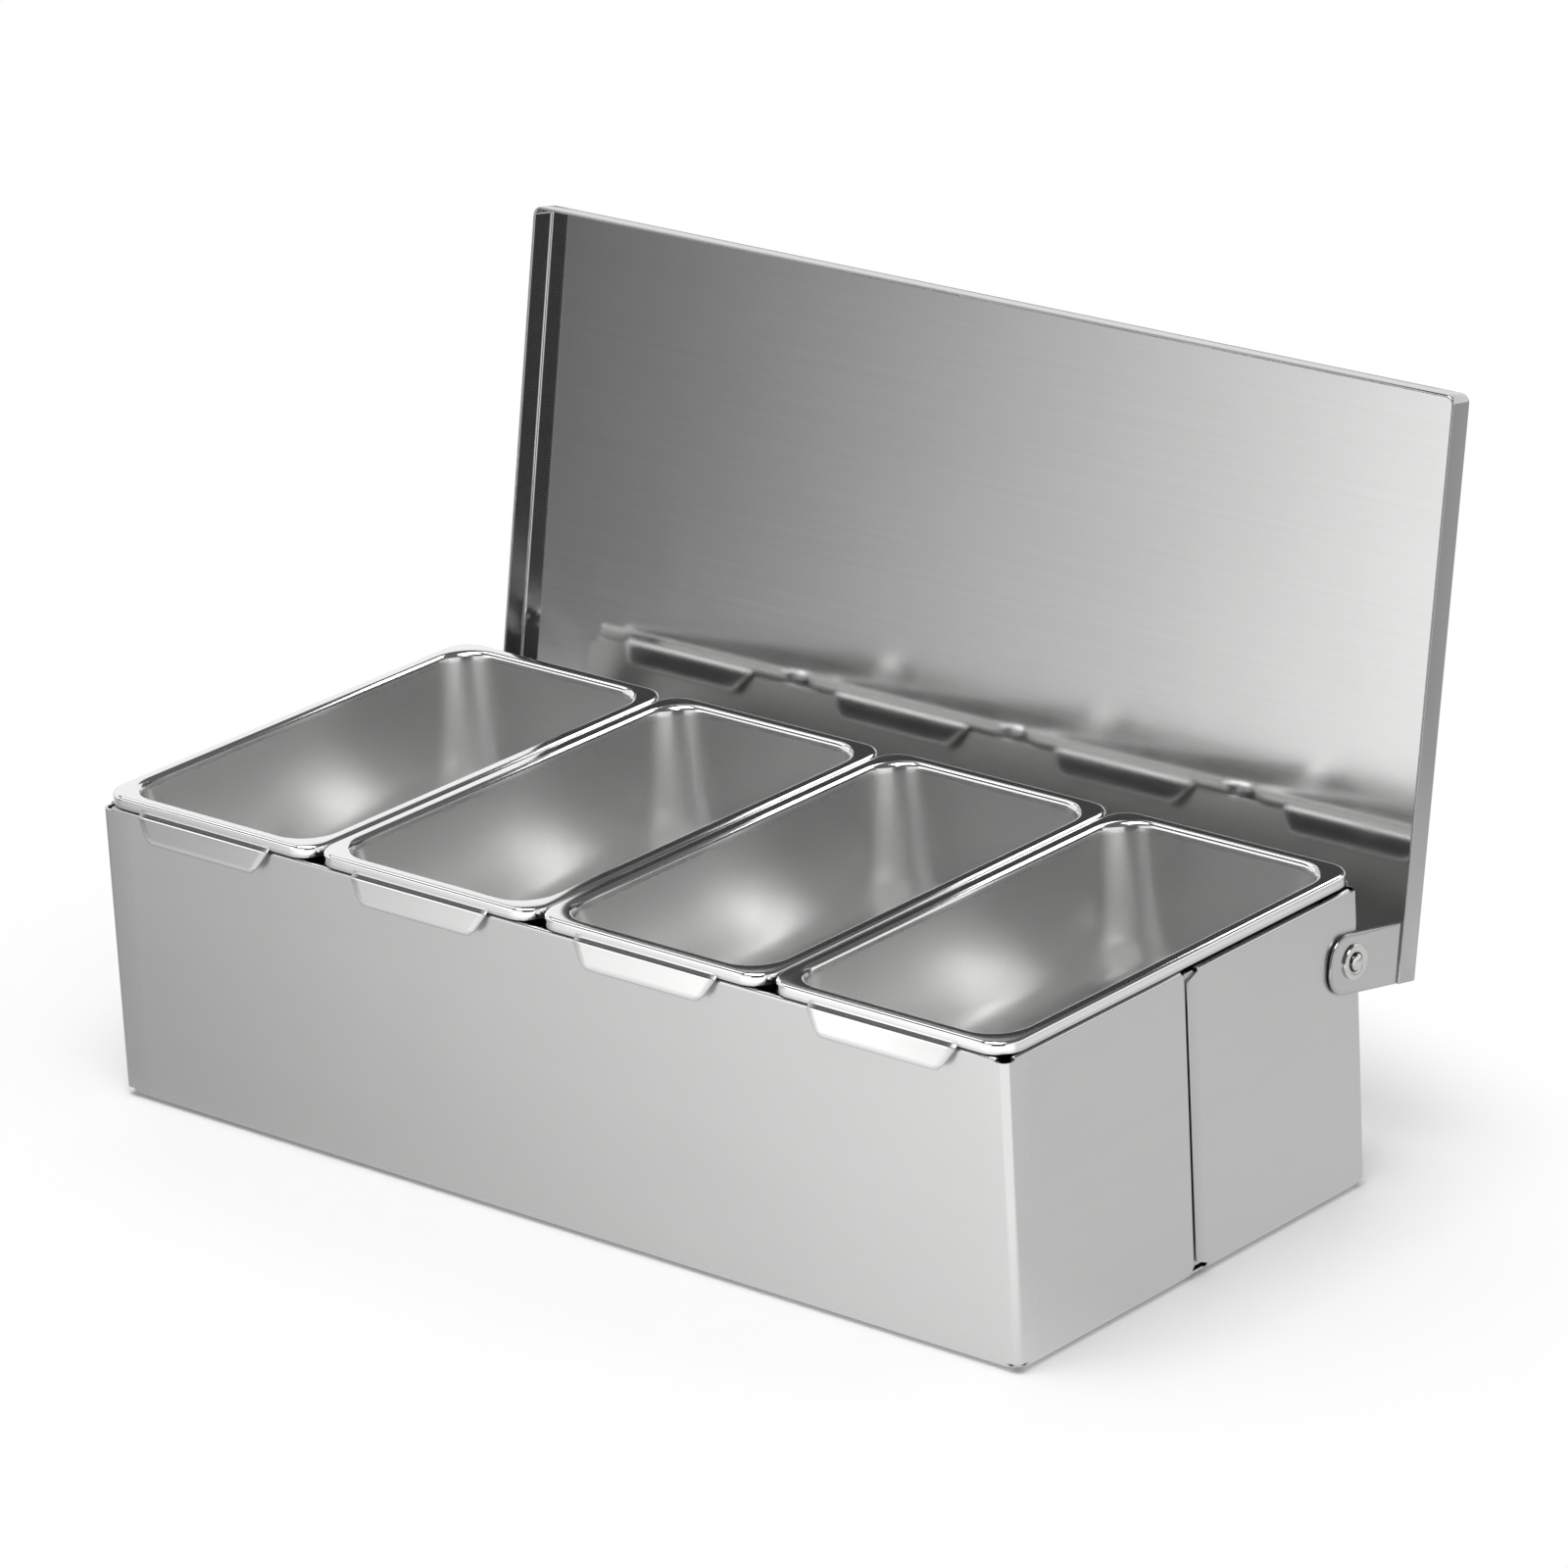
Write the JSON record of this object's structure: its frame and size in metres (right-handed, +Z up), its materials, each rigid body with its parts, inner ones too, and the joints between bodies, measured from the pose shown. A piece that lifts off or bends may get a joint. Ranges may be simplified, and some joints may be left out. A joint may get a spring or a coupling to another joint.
{
  "type": "bar garnish tray",
  "caption": "Long bent-sheet case with lift-out pans side by side under a hinged lid, for cut garnishes at a bar.",
  "frame": {"origin": "middle of the flat underside of the case", "axes": "+X along the case to the right, +Y to the back where the lid is hinged, +Z up"},
  "size_m": [0.306, 0.1861, 0.1945],
  "materials": {
    "case_sheet": "brushed lengthwise, slightly cloudy",
    "lid_sheet": "brushed lengthwise",
    "pan_sheet": "satin, drawn and buffed",
    "rivet_metal": "pressed and tumbled smooth",
    "washer_nylon": "plain"
  },
  "bodies": {
    "case": {"front_wrap": "case_sheet", "rear_wrap": "case_sheet", "base_plate": "case_sheet", "rivet_left": "rivet_metal", "rivet_right": "rivet_metal", "friction_washer_left": "washer_nylon", "friction_washer_right": "washer_nylon"},
    "lid": {"lid_panel": "lid_sheet", "lid_ear_left": "lid_sheet", "lid_ear_right": "lid_sheet"},
    "pan_1": {"pan_1": "pan_sheet"},
    "pan_2": {"pan_2": "pan_sheet"},
    "pan_3": {"pan_3": "pan_sheet"},
    "pan_4": {"pan_4": "pan_sheet"}
  },
  "joints": [
    {"name": "lid_hinge", "type": "hinge", "parent": "case", "child": "lid", "pos_m": [0, 0.0636, 0.0614], "axis": [-1, 0, 0], "range_deg": [-100.9, 50]},
    {"name": "pan_1_lift", "type": "slide", "parent": "case", "child": "pan_1", "axis": [0, 0, 1], "range_m": [0, 0.08]},
    {"name": "pan_2_lift", "type": "slide", "parent": "case", "child": "pan_2", "axis": [0, 0, 1], "range_m": [0, 0.08]},
    {"name": "pan_3_lift", "type": "slide", "parent": "case", "child": "pan_3", "axis": [0, 0, 1], "range_m": [0, 0.08]},
    {"name": "pan_4_lift", "type": "slide", "parent": "case", "child": "pan_4", "axis": [0, 0, 1], "range_m": [0, 0.08]}
  ]
}
